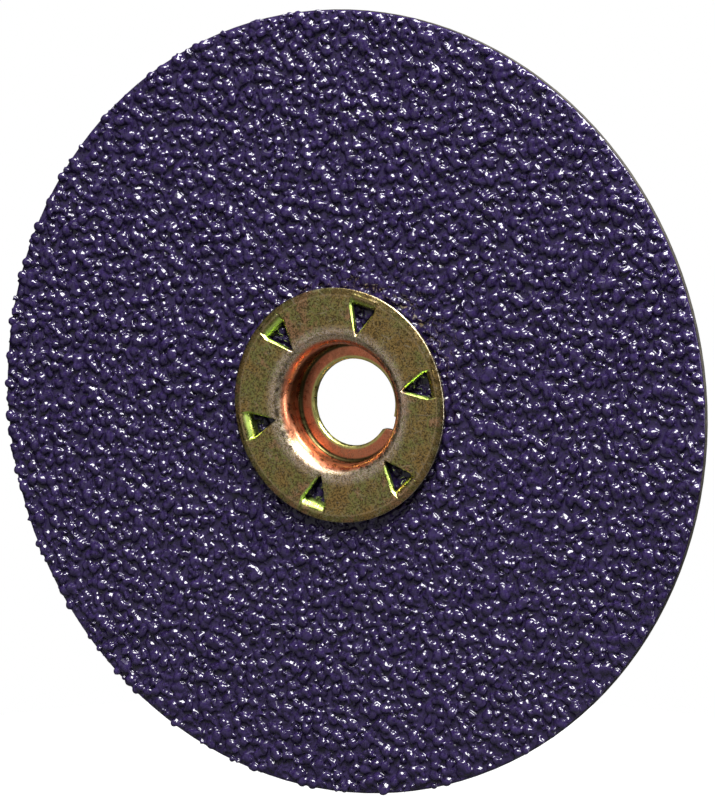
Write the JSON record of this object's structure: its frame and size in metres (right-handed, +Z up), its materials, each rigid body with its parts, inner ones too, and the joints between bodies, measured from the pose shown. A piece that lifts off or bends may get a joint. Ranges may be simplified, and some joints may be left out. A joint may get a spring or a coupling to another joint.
{
  "type": "quick-change fibre disc",
  "caption": "Round coarse-grit resin fibre disc with a stamped steel screw-on hub, for an angle grinder and backing pad.",
  "frame": {"origin": "on the spindle axis, in the plane of the disc's back face, where the backing pad bears", "axes": "+Y along the spin axis towards the grinder, so the abrasive faces -Y; +Z up and +X to the right as seen from the abrasive side"},
  "size_m": [0.127, 0.0077, 0.127],
  "materials": {
    "chromated_steel": "zinc plated and yellow chromated, satin with a faint iridescence",
    "vulcanised_fibre": "dark vulcanised fibre, dull, fine paper-like grain",
    "make_resin": "cured resin, dark violet",
    "coated_grain": "ceramic grain under glossy violet resin",
    "size_resin": "cured resin, glossy dark violet"
  },
  "bodies": {
    "root": {"nut_hub": "chromated_steel", "fibre_backing": "vulcanised_fibre", "make_coat": "make_resin", "grain_layer": "coated_grain", "size_coat": "size_resin"}
  },
  "joints": []
}
